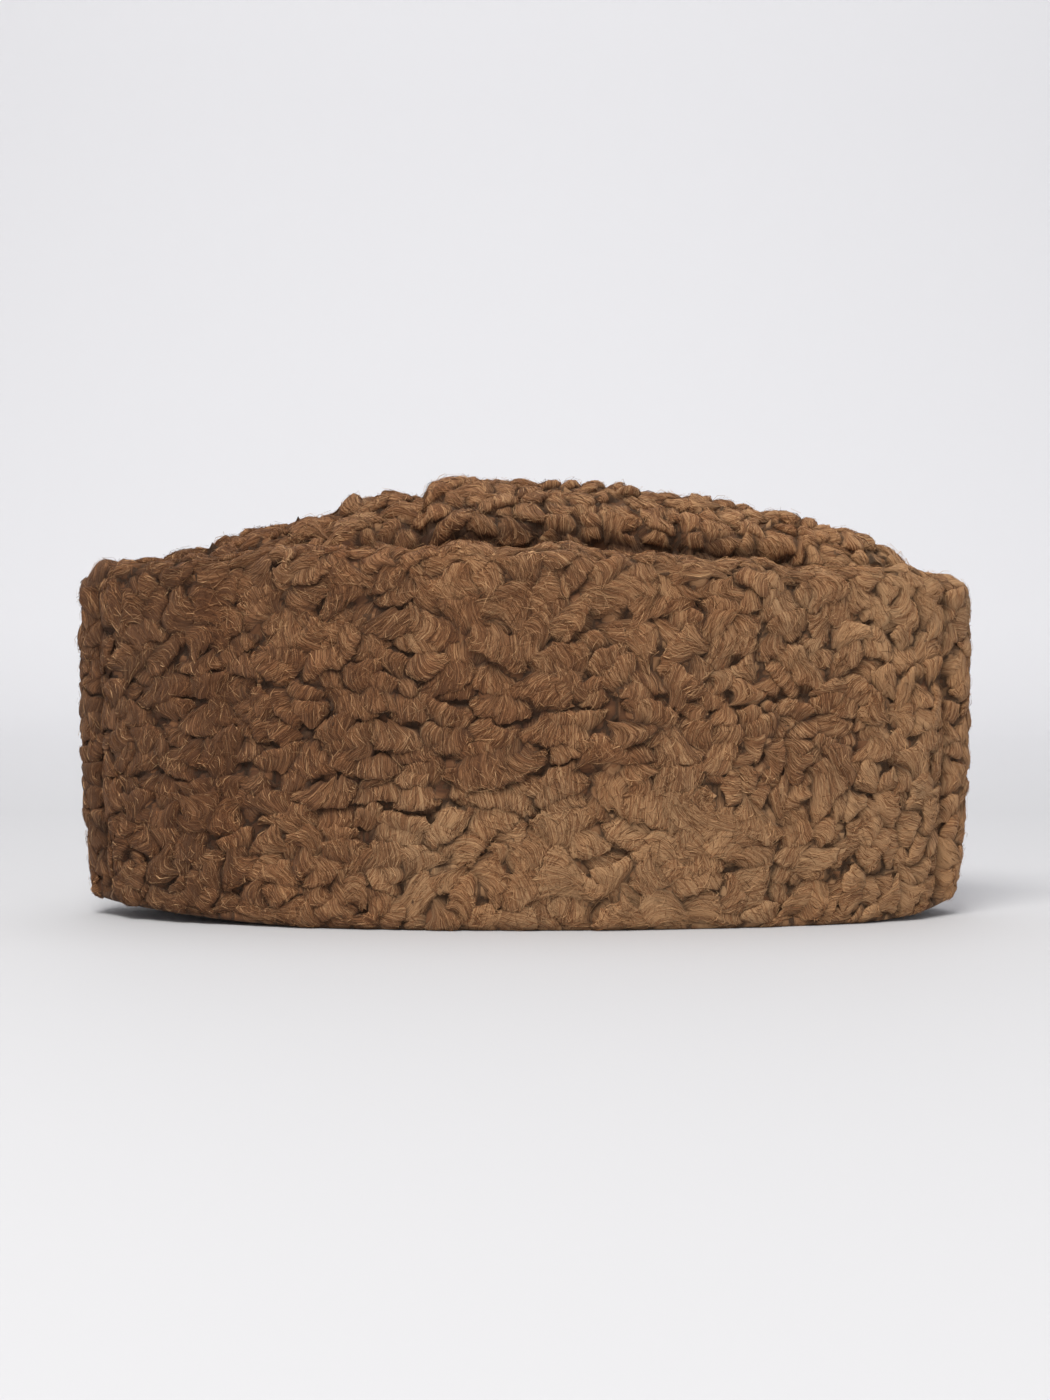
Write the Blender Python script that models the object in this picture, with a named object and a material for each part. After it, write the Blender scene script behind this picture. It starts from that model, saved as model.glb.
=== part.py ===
"""Karakul cap: a boat-shaped cap sewn from three pieces of curled lambskin.

Metres, +Z up. The cap stands on its rim, long way along X, with +X towards the front
seam and the origin on the floor under its middle. Two side panels meet at the front and
back seams, and their top edges roll inward. The crown is folded into a ridge that rises
between the two rolled edges.
"""

import bmesh
import bpy
import numpy as np

# Overall size, wool included, for a head of 58 cm
HALF_LENGTH = 0.144
HALF_WIDTH = 0.045
PELT = 0.008  # leather and wool together

# The wall of a side panel
WALL_HEIGHT = 0.1195  # at its highest, in the middle
SIDE_LEAN = 0.006  # how far the sides lean inward from rim to top
END_TUCK = 0.004  # how far the rim draws in at the two ends
TUCK_TOP = 0.070  # height where that drawing in has ended
RIM_ROUND = 0.003
RIM_FLAT_HALF = 0.060  # half the length of rim that lies on the floor
RIM_LIFT = 0.006  # how far the rim's ends stand off the floor
RIM_CURVE = (1.5, 2.5)  # power of the rim's rise towards the back and towards the front
ROLL_RADIUS = 0.0075  # the rolled top edge
LIP_DROP = 0.022  # how far the rolled edge reaches down inside

# Seams, as angles round the plan from +X, and the gap between sewn pieces
FRONT_SEAM = np.radians(20.0)
BACK_SEAM = np.radians(163.0)
SEAM_DIP = 0.0030  # how far the wool sinks beside a seam
SEAM_REACH = 0.008
SEWN_GAP = 0.0003

# Wool curls: low sausage-shaped rolls, laid in courses like bricks
CURL_DEPTH = 0.0023
CURL_WANDER = 0.22  # how far the edge between two courses strays, as a share of a course
WANDER_WAVES = (4.0, 8.0)  # fewest and most such waves from one end of a piece to the other
CURL_COLUMNS = (2, 4)  # shortest and longest curl, in columns of points
CURL_HEIGHTS = (0.7, 1.0)  # lowest and highest crest, as a share of the depth
BREAK_HEIGHT = 0.2  # what is left of a crest where one curl ends and the next begins
JOINED_SHARE = 0.2  # how many places on an edge have two curls run together
JOINED_HEIGHT = 0.6  # height of such a place, as a share of the crest beside it
WOOL_SEEDS = {"right": 11, "left": 23, "crown": 5}
PANEL_COURSES = 17
CROWN_COURSES = 8
COLUMNS_BETWEEN_SEAMS = 46
COLUMNS_ROUND_END = 4

# The crown's two pointed ends
CROWN_TIP_ANGLE = np.radians(1.5)
CROWN_FULL_WOOL = 0.012  # half width above which the crown's curls have their whole depth
CROWN_INNER_SHARE = 0.35  # least inner width of the arch, as a share of its outer width
CROWN_LEAST_RISE = 0.001

# Points along the smooth profiles that the courses are laid on
RIM_POINTS = 5
WALL_POINTS = 30
ROLL_POINTS = 16
LINING_POINTS = 5
ARCH_POINTS = 80
INNER_ARCH_POINTS = 7
SEAM_TO_SEAM_POINTS = 400
NORMAL_REACH = 0.004  # step to either side for a profile's normal, as a share of its length

SHARP_EDGE = np.radians(70.0)

# Height of the rolled top edge, at places along the cap
TOP_EDGE = [
    # x_m, height_m
    (-0.144, 0.1105),
    (-0.125, 0.1143),
    (-0.100, 0.1172),
    (-0.050, 0.1178),
    (-0.010, WALL_HEIGHT),
    (0.020, 0.1190),
    (0.050, 0.1165),
    (0.080, 0.1145),
    (0.110, 0.1134),
    (0.144, 0.1090),
]

# Crown ridge: its height, how deep the crease beside it is, and how full its flanks are
RIDGE = [
    # x_m, height_m, crease_m, fullness
    (-0.128, 0.1115, 0.0040, 1.35),
    (-0.108, 0.1198, 0.0045, 1.35),
    (-0.085, 0.1272, 0.0060, 1.35),
    (-0.068, 0.1315, 0.0085, 1.35),
    (-0.045, 0.1370, 0.0105, 1.35),
    (-0.031, 0.1370, 0.0110, 1.35),
    (-0.023, 0.1402, 0.0115, 1.75),
    (-0.009, 0.1412, 0.0120, 1.75),
    (0.018, 0.1390, 0.0120, 1.70),
    (0.055, 0.1356, 0.0115, 1.65),
    (0.085, 0.1290, 0.0110, 1.60),
    (0.100, 0.1262, 0.0095, 1.60),
    (0.107, 0.1240, 0.0065, 1.50),
    (0.118, 0.1194, 0.0050, 1.40),
    (0.128, 0.1115, 0.0040, 1.35),
]

# Soft upright folds where the near wall bends, by place along the cap
NEAR_FOLDS = [
    # x_m, depth_m, half_width_m
    (-0.091, 0.0022, 0.010),
    (0.084, 0.0020, 0.010),
]

WOOL_COLOUR = (0.175, 0.088, 0.042, 1.0)
WOOL_ROUGHNESS = 0.9
WOOL_SHEEN = 0.4


def clear_scene():
    for old in list(bpy.data.objects):
        bpy.data.objects.remove(old)


def from_table(table, column, x):
    """Column of a table, read between its rows at x."""
    rows = np.array(table)
    return np.interp(x, rows[:, 0], rows[:, column])


def side_lean(theta, z):
    """Inward distance of the wall's outer face from the widest outline."""
    up = np.clip(z / WALL_HEIGHT, 0.0, 1.0)
    below = np.clip(1.0 - z / TUCK_TOP, 0.0, 1.0)
    return SIDE_LEAN * np.sin(theta) ** 2 * up**1.5 + END_TUCK * np.cos(theta) ** 2 * below**2


def place(theta, inward, z):
    """A point at this angle round the plan, this far inside the widest outline."""
    across = (HALF_WIDTH - inward) * np.sin(theta)
    along = (HALF_LENGTH - inward) * np.cos(theta)
    return np.stack([along, across, z], axis=-1)


def plan_angles():
    """Angles from the front round to the back, even along the outline between the seams."""
    fine = np.linspace(FRONT_SEAM, BACK_SEAM, SEAM_TO_SEAM_POINTS)
    step = np.hypot(HALF_LENGTH * np.sin(fine), HALF_WIDTH * np.cos(fine))
    length = np.concatenate([[0.0], np.cumsum((step[1:] + step[:-1]) / 2)])
    even = np.linspace(0.0, length[-1], COLUMNS_BETWEEN_SEAMS + 1)
    between = np.interp(even, length, fine)
    front = np.linspace(0.0, FRONT_SEAM, COLUMNS_ROUND_END + 1)[:-1]
    back = np.linspace(BACK_SEAM, np.pi, COLUMNS_ROUND_END + 1)[1:]
    return np.concatenate([front, between, back])


def rim_height(x):
    """The rim lies flat in the middle and lifts towards both ends, later at the front."""
    beyond = np.clip((abs(x) - RIM_FLAT_HALF) / (HALF_LENGTH - RIM_FLAT_HALF), 0.0, 1.0)
    return RIM_LIFT * beyond ** RIM_CURVE[int(x > 0)]


def wall_profile(theta):
    """Outer face of a panel at one angle, from the rim over the rolled edge to its hem.

    Rows of (inward distance, height): a quarter round at the rim, the leaning wall, a
    half round over the top and a straight lip.
    """
    x = HALF_LENGTH * np.cos(theta)
    low = rim_height(x)
    top = from_table(TOP_EDGE, 1, x)
    base = side_lean(theta, low)
    turn = np.linspace(np.pi / 2, 0.0, RIM_POINTS)
    rim = np.stack(
        [
            base + RIM_ROUND * (1.0 - np.cos(turn)),
            low + RIM_ROUND * (1.0 - np.sin(turn)),
        ],
        axis=-1,
    )
    z = np.linspace(low + RIM_ROUND, top - ROLL_RADIUS, WALL_POINTS)[1:]
    wall = np.stack([side_lean(theta, z), z], axis=-1)
    roll_centre = side_lean(theta, top) + ROLL_RADIUS
    turn = np.linspace(np.pi, 0.0, ROLL_POINTS)[1:]
    roll = np.stack(
        [
            roll_centre + ROLL_RADIUS * np.cos(turn),
            top - ROLL_RADIUS + ROLL_RADIUS * np.sin(turn),
        ],
        axis=-1,
    )
    hem = np.array([[roll_centre + ROLL_RADIUS, top - LIP_DROP]])
    return np.concatenate([rim, wall, roll, hem])


def along_profile(profile, fractions):
    """Points and inward normals at fractions of a profile's length."""
    step = np.linalg.norm(np.diff(profile, axis=0), axis=1)
    length = np.concatenate([[0.0], np.cumsum(step)])
    wanted = fractions * length[-1]
    nudge = length[-1] * NORMAL_REACH

    def at(distance):
        distance = np.clip(distance, 0.0, length[-1])
        return np.stack([np.interp(distance, length, profile[:, k]) for k in (0, 1)], axis=-1)

    tangent = at(wanted + nudge) - at(wanted - nudge)
    tangent /= np.linalg.norm(tangent, axis=1, keepdims=True)
    inward = np.stack([tangent[:, 1], -tangent[:, 0]], axis=-1)
    return at(wanted), inward


def curl_courses(courses, columns, seed):
    """Where the rows of a curled face lie, and how high the wool stands at each point.

    Each course is a line of curls a few columns long, with one row of points on its
    crest and one on each edge. The edges wander, and the wool sinks along them and at
    the breaks between curls, apart from a few places where two curls run together.
    """
    rng = np.random.default_rng(seed)
    column = np.arange(columns)
    edge = np.empty((courses + 1, columns))
    for course in range(courses + 1):
        waves = rng.uniform(*WANDER_WAVES)
        phase = rng.uniform(0.0, 2 * np.pi)
        wander = CURL_WANDER * np.sin(2 * np.pi * waves * column / columns + phase)
        edge[course] = course + (wander if 0 < course < courses else 0.0)
    rows = []
    heights = []
    for course in range(courses):
        crest = np.empty(columns)
        start = -rng.integers(0, CURL_COLUMNS[0] + 1)
        while start < columns:
            reach = rng.integers(CURL_COLUMNS[0], CURL_COLUMNS[1] + 1)
            crest[max(start, 0) : start + reach] = rng.uniform(*CURL_HEIGHTS)
            if start >= 0:
                crest[start] *= BREAK_HEIGHT
            start += reach
        joined = rng.random(columns) < JOINED_SHARE
        rows += [edge[course], (edge[course] + edge[course + 1]) / 2]
        heights += [np.where(joined, JOINED_HEIGHT, 0.0) * crest, crest]
    rows.append(edge[courses])
    heights.append(np.zeros(columns))
    return np.array(rows) / courses, np.array(heights)


def seam_sink(theta, seams):
    """How far the wool sinks near the seams that bound a panel."""
    distance = np.full_like(theta, np.inf)
    for seam in seams:
        dx = HALF_LENGTH * (np.cos(theta) - np.cos(seam))
        dy = HALF_WIDTH * (np.sin(theta) - np.sin(seam))
        distance = np.minimum(distance, np.hypot(dx, dy))
    return SEAM_DIP * np.clip(1.0 - distance / SEAM_REACH, 0.0, 1.0)


def fold_sink(x, folds):
    """How far the wall is drawn in by its upright folds, at x."""
    sink = 0.0
    for fold_x, depth, half_width in folds:
        sink = max(sink, depth * max(0.0, 1.0 - abs(x - fold_x) / half_width))
    return sink


def loft(name, sections, material):
    """One closed solid through rings of points, with a face over the first and last ring."""
    mesh = bpy.data.meshes.new(name)
    made = bmesh.new()
    rings = [[made.verts.new(point) for point in ring] for ring in sections]
    count = len(rings[0])
    for one, two in zip(rings, rings[1:]):
        for k in range(count):
            after = (k + 1) % count
            made.faces.new((one[k], one[after], two[after], two[k]))
    made.faces.new(reversed(rings[0]))
    made.faces.new(rings[-1])
    bmesh.ops.recalc_face_normals(made, faces=made.faces)
    made.to_mesh(mesh)
    made.free()
    mesh.shade_smooth()
    mesh.set_sharp_from_angle(angle=SHARP_EDGE)
    mesh.materials.append(material)
    obj = bpy.data.objects.new(name, mesh)
    bpy.context.scene.collection.objects.link(obj)
    return obj


def wool_material():
    material = bpy.data.materials.new("karakul_wool")
    material.use_nodes = True
    shader = material.node_tree.nodes["Principled BSDF"]
    shader.inputs["Base Color"].default_value = WOOL_COLOUR
    shader.inputs["Roughness"].default_value = WOOL_ROUGHNESS
    shader.inputs["Metallic"].default_value = 0.0
    shader.inputs["Sheen Weight"].default_value = WOOL_SHEEN
    return material


def side_panel(name, theta, folds, seed, material):
    """A wall of the cap with its rolled top edge, lofted round the plan through theta."""
    half_gap = SEWN_GAP / 2
    theta = theta.copy()
    for end, towards in ((0, 1), (-1, -2)):
        speed = np.hypot(HALF_LENGTH * np.sin(theta[end]), HALF_WIDTH * np.cos(theta[end]))
        theta[end] += np.sign(theta[towards] - theta[end]) * half_gap / speed
    fractions, heights = curl_courses(PANEL_COURSES, len(theta), seed)
    seam = seam_sink(theta, (theta[0], theta[-1]))
    sections = []
    for k, angle in enumerate(theta):
        x = HALF_LENGTH * np.cos(angle)
        points, inward = along_profile(wall_profile(angle), fractions[:, k])
        sink = CURL_DEPTH * (1.0 - heights[:, k]) + seam[k] + fold_sink(x, folds)
        hem = np.ones(len(sink))
        hem[[0, -1]] = 0.0
        outer = points + inward * (sink * hem)[:, None]
        low = rim_height(x)
        top = from_table(TOP_EDGE, 1, x)
        lining_z = np.linspace(top - LIP_DROP, low, LINING_POINTS)
        lining = np.stack([side_lean(angle, lining_z) + PELT, lining_z], axis=-1)
        ring = np.concatenate([outer, lining])
        sections.append(place(angle, ring[:, 0], ring[:, 1]))
    return loft(name, sections, material)


def crown_outline(theta):
    """(x, half width) where the crown meets the rolled edges, at an angle of the plan."""
    top = from_table(TOP_EDGE, 1, HALF_LENGTH * np.cos(theta))
    inward = side_lean(theta, top) + 2 * ROLL_RADIUS + SEWN_GAP
    x, half_width, _ = place(theta, inward, top)
    return x, half_width


def arch(half_width, base, rise, fullness, count):
    """Points over a superellipse arch, from -Y over the top to +Y: rows of (y, z)."""
    turn = np.linspace(np.pi, 0.0, count)
    power = 2.0 / fullness
    y = half_width * np.sign(np.cos(turn)) * np.abs(np.cos(turn)) ** power
    z = base + rise * np.abs(np.sin(turn)) ** power
    return np.stack([y, z], axis=-1)


def crown(name, theta, seed, material):
    """The folded top: a hollow ridge whose feet stand against the rolled edges."""
    fractions, heights = curl_courses(CROWN_COURSES, len(theta), seed)
    sections = []
    for k, angle in enumerate(theta):
        x, half_width = crown_outline(angle)
        top = from_table(TOP_EDGE, 1, HALF_LENGTH * np.cos(angle))
        foot = top - from_table(RIDGE, 2, x)
        rise = max(from_table(RIDGE, 1, x) - foot, CROWN_LEAST_RISE)
        fullness = from_table(RIDGE, 3, x)
        points, inward = along_profile(
            arch(half_width, foot, rise, fullness, ARCH_POINTS), fractions[:, k]
        )
        wool = min(half_width / CROWN_FULL_WOOL, 1.0)
        sink = CURL_DEPTH * wool * (1.0 - heights[:, k])
        sink[[0, -1]] = 0.0
        outer = points + inward * sink[:, None]
        inner_width = max(half_width - PELT, CROWN_INNER_SHARE * half_width)
        inner = arch(inner_width, foot - PELT, rise, fullness, INNER_ARCH_POINTS)[::-1]
        feet = np.array([[half_width, foot - PELT], [-half_width, foot - PELT]])
        ring = np.concatenate([outer, feet[:1], inner, feet[1:]])
        sections.append(np.insert(ring, 0, x, axis=1))
    return loft(name, sections, material)


def main():
    clear_scene()
    wool = wool_material()
    theta = plan_angles()
    between = theta[COLUMNS_ROUND_END : len(theta) - COLUMNS_ROUND_END]
    side_panel("right_side_panel", -between, NEAR_FOLDS, WOOL_SEEDS["right"], wool)

    # The left panel goes on round both ends, to the seams on the right
    round_front = -theta[COLUMNS_ROUND_END:0:-1]
    round_back = 2 * np.pi - theta[-2 : -COLUMNS_ROUND_END - 2 : -1]
    left = np.concatenate([round_front, theta, round_back])
    side_panel("left_side_panel", left, [], WOOL_SEEDS["left"], wool)

    top = np.concatenate([[CROWN_TIP_ANGLE], theta[1:-1], [np.pi - CROWN_TIP_ANGLE]])
    crown("crown", top, WOOL_SEEDS["crown"], wool)


main()
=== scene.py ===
import bpy
import numpy as np
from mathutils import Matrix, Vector


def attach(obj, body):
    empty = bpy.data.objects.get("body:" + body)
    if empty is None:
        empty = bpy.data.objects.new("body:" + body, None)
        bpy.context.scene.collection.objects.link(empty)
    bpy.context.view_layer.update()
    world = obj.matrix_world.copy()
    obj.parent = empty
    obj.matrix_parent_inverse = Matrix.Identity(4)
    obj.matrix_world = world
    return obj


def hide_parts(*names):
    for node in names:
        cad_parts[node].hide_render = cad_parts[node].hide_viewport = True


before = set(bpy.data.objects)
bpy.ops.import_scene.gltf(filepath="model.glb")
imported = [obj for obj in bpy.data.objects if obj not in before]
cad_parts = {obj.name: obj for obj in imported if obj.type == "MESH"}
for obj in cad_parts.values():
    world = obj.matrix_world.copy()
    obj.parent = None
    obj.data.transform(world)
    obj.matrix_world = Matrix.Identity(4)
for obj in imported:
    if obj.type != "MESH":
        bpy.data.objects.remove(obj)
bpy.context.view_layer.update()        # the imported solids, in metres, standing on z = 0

mm = 0.001
latticeCells = 97        # cells along one side of the noise, after which it repeats
zoneSoft = 6.0           # mm over which zones blend into each other
axisPoints = 7           # points along a curl's axis when curls are laid
endPower = 3.0           # a curl's height fades by 1 - |u|^endPower towards its ends
patternShift = 11.0      # mm between the strand patterns of two curls
patternKinds = 50

# The cap's own sizes in metres, the same as the solids have
cap = dict(
    halfLength=0.144,
    halfWidth=0.045,
    pelt=0.008,          # leather and wool together
    wallHeight=0.1195,
    sideLean=0.006,
    endTuck=0.004,
    tuckTop=0.070,
    rimRound=0.003,
    rimFlatHalf=0.060,
    rimLift=0.006,
    rimCurve=(1.5, 6.0),  # power of the rise towards -X and towards +X
    rollRadius=0.0075,
    lipDrop=0.022,
    frontSeam=20.0,      # degrees round the plan from +X
    backSeam=163.0,
    seamDip=0.0028,
    seamReach=0.007,
    sewnGap=0.0003,
)

# Height of the rolled top edge: x, z
topEdge = [
    (-0.144, 0.1105), (-0.125, 0.1143), (-0.100, 0.1172), (-0.050, 0.1178), (-0.010, 0.1195),
    (0.020, 0.1190), (0.050, 0.1165), (0.080, 0.1145), (0.110, 0.1134), (0.144, 0.1090),
]


def readTable(table, column, x):
    # A column of a table, read in straight lines between its rows
    rows = np.array(table)
    return np.interp(x, rows[:, 0], rows[:, column])


def smoothStep(low, high, x):
    # 3 f^2 - 2 f^3 of the share f of the way from low to high
    f = np.clip((x - low) / (high - low), 0.0, 1.0)
    return f * f * (3.0 - 2.0 * f)


def softNoise(x, y, size, seed):
    # Value noise from -1 to 1: random numbers on a square lattice of this size, blended with smooth steps
    lattice = np.random.default_rng(seed).uniform(-1.0, 1.0, (latticeCells, latticeCells))
    i, j = np.floor(x / size).astype(int), np.floor(y / size).astype(int)
    f, g = smoothStep(0.0, 1.0, x / size - i), smoothStep(0.0, 1.0, y / size - j)

    def pick(a, b):
        return lattice[(i + a) % latticeCells, (j + b) % latticeCells]

    lower = pick(0, 0) * (1 - f) + pick(1, 0) * f
    upper = pick(0, 1) * (1 - f) + pick(1, 1) * f
    return lower * (1 - g) + upper * g


def unit(vectors):
    # Vectors divided by their own lengths
    return vectors / np.maximum(np.linalg.norm(vectors, axis=-1, keepdims=True), 1e-12)


def sideLean(theta, z):
    # Inward lean: lean * sin^2(theta) * (z / height)^1.5 + end tuck * cos^2(theta) * (1 - z / tuck top)^2
    up = np.clip(z / cap["wallHeight"], 0.0, 1.0)
    below = np.clip(1.0 - z / cap["tuckTop"], 0.0, 1.0)
    return cap["sideLean"] * np.sin(theta) ** 2 * up**1.5 + cap["endTuck"] * np.cos(theta) ** 2 * below**2


def place(theta, inward, z):
    # Ellipse drawn in by the inward distance d: ((a - d) cos theta, (b - d) sin theta, z)
    x = (cap["halfLength"] - inward) * np.cos(theta)
    y = (cap["halfWidth"] - inward) * np.sin(theta)
    return np.stack(np.broadcast_arrays(x, y, z), axis=-1)


def rimHeight(x):
    # Flat on the floor in the middle, then lift * (share of the way to the end)^curve
    beyond = np.clip((np.abs(x) - cap["rimFlatHalf"]) / (cap["halfLength"] - cap["rimFlatHalf"]), 0.0, 1.0)
    return cap["rimLift"] * beyond ** np.where(x > 0, cap["rimCurve"][1], cap["rimCurve"][0])


def evenAngles(start, end, spacing):
    # Angles whose points on the ellipse lie this far apart along the outline
    fine = np.linspace(np.radians(start), np.radians(end), 4000)
    speed = np.hypot(cap["halfLength"] * np.sin(fine), cap["halfWidth"] * np.cos(fine))
    run = np.concatenate([[0.0], np.cumsum((speed[1:] + speed[:-1]) / 2 * np.diff(fine))])
    half = cap["sewnGap"] / 2
    stops = np.linspace(half, run[-1] - half, int(run[-1] / spacing) + 1)
    return np.interp(stops, run, fine), stops


def finishSheet(points, s, run):
    # A sheet is a grid of points with its flat map (s along, run across) and unit directions from the grid's slopes
    along, up = unit(np.gradient(points, axis=1)), unit(np.gradient(points, axis=0))
    return dict(points=points, s=s, run=run, along=along, up=up, out=unit(np.cross(along, up)))


def wallSheet(theta, s, rows):
    # Profile at each angle: quarter round at the rim, leaning wall, half round over the top, straight lip.
    # Run is the way along the profile, and equals the height on the wall.
    x = cap["halfLength"] * np.cos(theta)[None]
    theta = theta[None]
    low, top = rimHeight(x), readTable(topEdge, 1, x)
    small, big = cap["rimRound"], cap["rollRadius"]
    turn = np.linspace(np.pi / 2, 0.0, rows["rim"])[:, None]
    rim = (sideLean(theta, low) + small * (1 - np.cos(turn)), low + small * (1 - np.sin(turn)),
           low + small - small * turn)
    z = low + small + np.linspace(0, 1, rows["wall"] + 1)[1:, None] * (top - big - low - small)
    wall = (sideLean(theta, z), z, z)
    centre = sideLean(theta, top - big) + big
    turn = np.linspace(np.pi, 0.0, rows["roll"] + 1)[1:, None]
    roll = (centre + big * np.cos(turn), top - big + big * np.sin(turn), top - big + big * (np.pi - turn))
    drop = np.linspace(0, 1, rows["lip"] + 1)[1:, None] * (cap["lipDrop"] - big)
    lip = (centre + big + 0 * drop, top - big - drop, top - big + np.pi * big + drop)
    inward, z, run = (np.concatenate([np.broadcast_to(part[k], (part[2].shape[0], theta.size))
                                      for part in (rim, wall, roll, lip)]) for k in range(3))
    return finishSheet(place(theta, inward, z), s, run)


def wallLining(theta, rows):
    # Plain inner face: a ledge under the rolled edge, then down the wall at the pelt's thickness
    x = cap["halfLength"] * np.cos(theta)[None]
    theta = theta[None]
    top = readTable(topEdge, 1, x) - cap["lipDrop"]
    z = top + np.linspace(0, 1, rows)[:, None] * (rimHeight(x) - top)
    return place(theta, sideLean(theta, z) + cap["pelt"], z)


def blendZones(zones, x, z):
    # Each zone's values weighted by 1 / (distance^2 + soft^2)^2, in millimetres
    table = np.array(zones, float)
    gap = (x[:, None] / mm - table[:, 0]) ** 2 + (z[:, None] / mm - table[:, 1]) ** 2 + zoneSoft**2
    weight = gap**-2.0
    return (weight @ table[:, 2:]) / weight.sum(axis=1, keepdims=True)


def layCurls(sheet, zones, how):
    # Darts on the flat map: a curl stays where its bent axis keeps packing * (both half widths) from all earlier ones.
    # An axis is centre + u l/2 e + sag (u^2 - 0.33) n for u from -1 to 1. Later curls are shorter and sit lower, and
    # petals are shorter and wider, with strands that open like a fan towards the lip.
    rng = np.random.default_rng(how["seed"])
    tries = how["tries"]
    s, run = sheet["s"], sheet["run"]
    cs = rng.uniform(s[0], s[-1], tries)
    ct = rng.uniform(run.min(), run.max(), tries)
    column = np.interp(cs, s, np.arange(len(s))).round().astype(int)
    inside = (ct > run[0, column]) & (ct < run[-1, column])
    cs, ct, column = cs[inside], ct[inside], column[inside]
    x = sheet["points"][len(run) // 2, column, 0]
    lie, stray, length, width, height, merge = blendZones(zones, x, ct).T
    count = len(cs)
    later = np.linspace(0, 1, count)
    shrink = np.where(later < how["longShare"], 1.0, np.where(later < how["midShare"], *how["laterLength"]))
    petal = rng.random(count) < how["petals"]
    length = length * how["long"] * mm * shrink * np.exp(rng.normal(0, how["lengthSpread"], count))
    length = length * np.where(petal, how["petalLength"], 1.0)
    half = width * how["width"] * mm / 2 * rng.uniform(*how["widthSpread"], count)
    half = half * np.where(petal, how["petalWidth"], 1.0)
    lie = np.radians(lie + stray * rng.normal(0, how["lieSpread"], count))
    sag = length * rng.normal(0, how["bend"], count)
    u = np.linspace(-1, 1, axisPoints)
    e, n = np.stack([np.cos(lie), np.sin(lie)], -1), np.stack([-np.sin(lie), np.cos(lie)], -1)
    centre = np.stack([cs, ct], -1)
    axes = centre[:, None] + (length[:, None] / 2 * u)[..., None] * e[:, None]
    axes += (sag[:, None] * (u**2 - 0.33))[..., None] * n[:, None]
    kept, laid, laidHalf = [], np.full((1, 2), 9.0), np.zeros(1)
    for k in range(count):
        gap = np.hypot(laid[:, None, 0] - axes[k, :, 0], laid[:, None, 1] - axes[k, :, 1]).min(axis=1)
        if (gap > how["packing"] * (laidHalf + half[k])).all():
            kept.append(k)
            laid = np.concatenate([laid, axes[k]])
            laidHalf = np.concatenate([laidHalf, np.full(axisPoints, half[k])])
    number = len(kept)
    lip = np.where(rng.random(number) < how["lipDown"], -1.0, 1.0) * np.sign(np.cos(lie[kept]) + 1e-9)
    sweep = how["sweep"] * rng.choice((-1.0, 1.0), number) * petal[kept] * rng.uniform(0.5, 1.2, number)
    sit = mm * (rng.normal(0, how["sitSpread"], number) - how["lateLower"] * later[kept])
    flat = 1 - how["mergeFlat"] * merge[kept]
    return dict(
        axes=axes[kept], half=half[kept], merge=merge[kept], lip=lip, sit=sit,
        centre=centre[kept], e=e[kept], n=n[kept], sag=sag[kept],
        reach=length[kept] / 2 + how["endReach"] * half[kept],
        fan=how["fan"] * (petal[kept] + how["plainFan"]) * rng.uniform(0.6, 1.2, number),
        height=height[kept] * mm * rng.uniform(0.8, 1.15, number) * how["tall"] * flat,
        lean=rng.normal(0, how["lean"], number) + sweep,
        bow=rng.normal(0, how["bow"], number) + sweep * lip,
        tone=rng.normal(0, 1, number),
        phase=rng.uniform(0, 2 * np.pi, (2, number)),
    )


def stampCurls(sheet, curls, how):
    # How high the curls stand on the flat map: the most of sit + height * (full * (sqrt(1 - q^2) - slope * (q - 1)
    # beyond the edge) - ends * (1 - full)) over all curls, for q the distance from an axis in half widths and
    # full = 1 - |u|^endPower with u the share of the way from the middle to an end
    run = sheet["run"]
    flatS, flatT = wobbled(np.broadcast_to(sheet["s"], run.shape), run, how, 1.0)
    level = how["floor"] * mm * (0.7 + 0.3 * softNoise(flatS, flatT, how["floorPitch"] * mm, how["seed"] + 2))
    owner = np.zeros(run.shape, int)
    along, across = np.zeros(run.shape), np.zeros(run.shape)
    for k in range(len(curls["sit"])):
        axis, half = curls["axes"][k], curls["half"][k]
        low, high = axis.min(axis=0) - 1.6 * half, axis.max(axis=0) + 1.6 * half
        left, right = np.searchsorted(sheet["s"], (low[0], high[0]))
        if right - left < 2:
            continue
        bottom, top = np.searchsorted(run[:, (left + right) // 2], (low[1] - mm, high[1] + mm))
        window = np.s_[bottom:top, left:right]
        step = np.diff(axis, axis=0)
        size = np.linalg.norm(step, axis=1)
        e = (step / size[:, None])[:, None, None]
        relative = np.stack([flatS[window], flatT[window]], -1)[None] - axis[:-1, None, None]
        way = np.clip((relative * e).sum(-1), 0.0, size[:, None, None])
        off = relative - way[..., None] * e
        gap = np.linalg.norm(off, axis=-1)
        best = gap.argmin(axis=0)[None]
        gap, way = (np.take_along_axis(a, best, axis=0)[0]
                    for a in (gap, way + np.concatenate([[0.0], np.cumsum(size)[:-1]])[:, None, None]))
        q = gap / half
        body = np.sqrt(np.maximum(1 - q**2, 0)) - how["slope"] * np.maximum(q - 1, 0)
        u = ((flatS[window] - curls["centre"][k, 0]) * curls["e"][k, 0]
             + (flatT[window] - curls["centre"][k, 1]) * curls["e"][k, 1]) / curls["reach"][k]
        full = 1 - np.minimum(np.abs(u), 1.3) ** endPower
        roll = curls["sit"][k] + curls["height"][k] * (body * full - how["ends"] * (1 - full))
        mine = roll > level[window]
        for field, value in ((level, roll), (owner, k), (along, way), (across, gap)):
            field[window] = np.where(mine, value, field[window])
    return dict(owner=owner, level=level, along=along, across=across)


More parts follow.
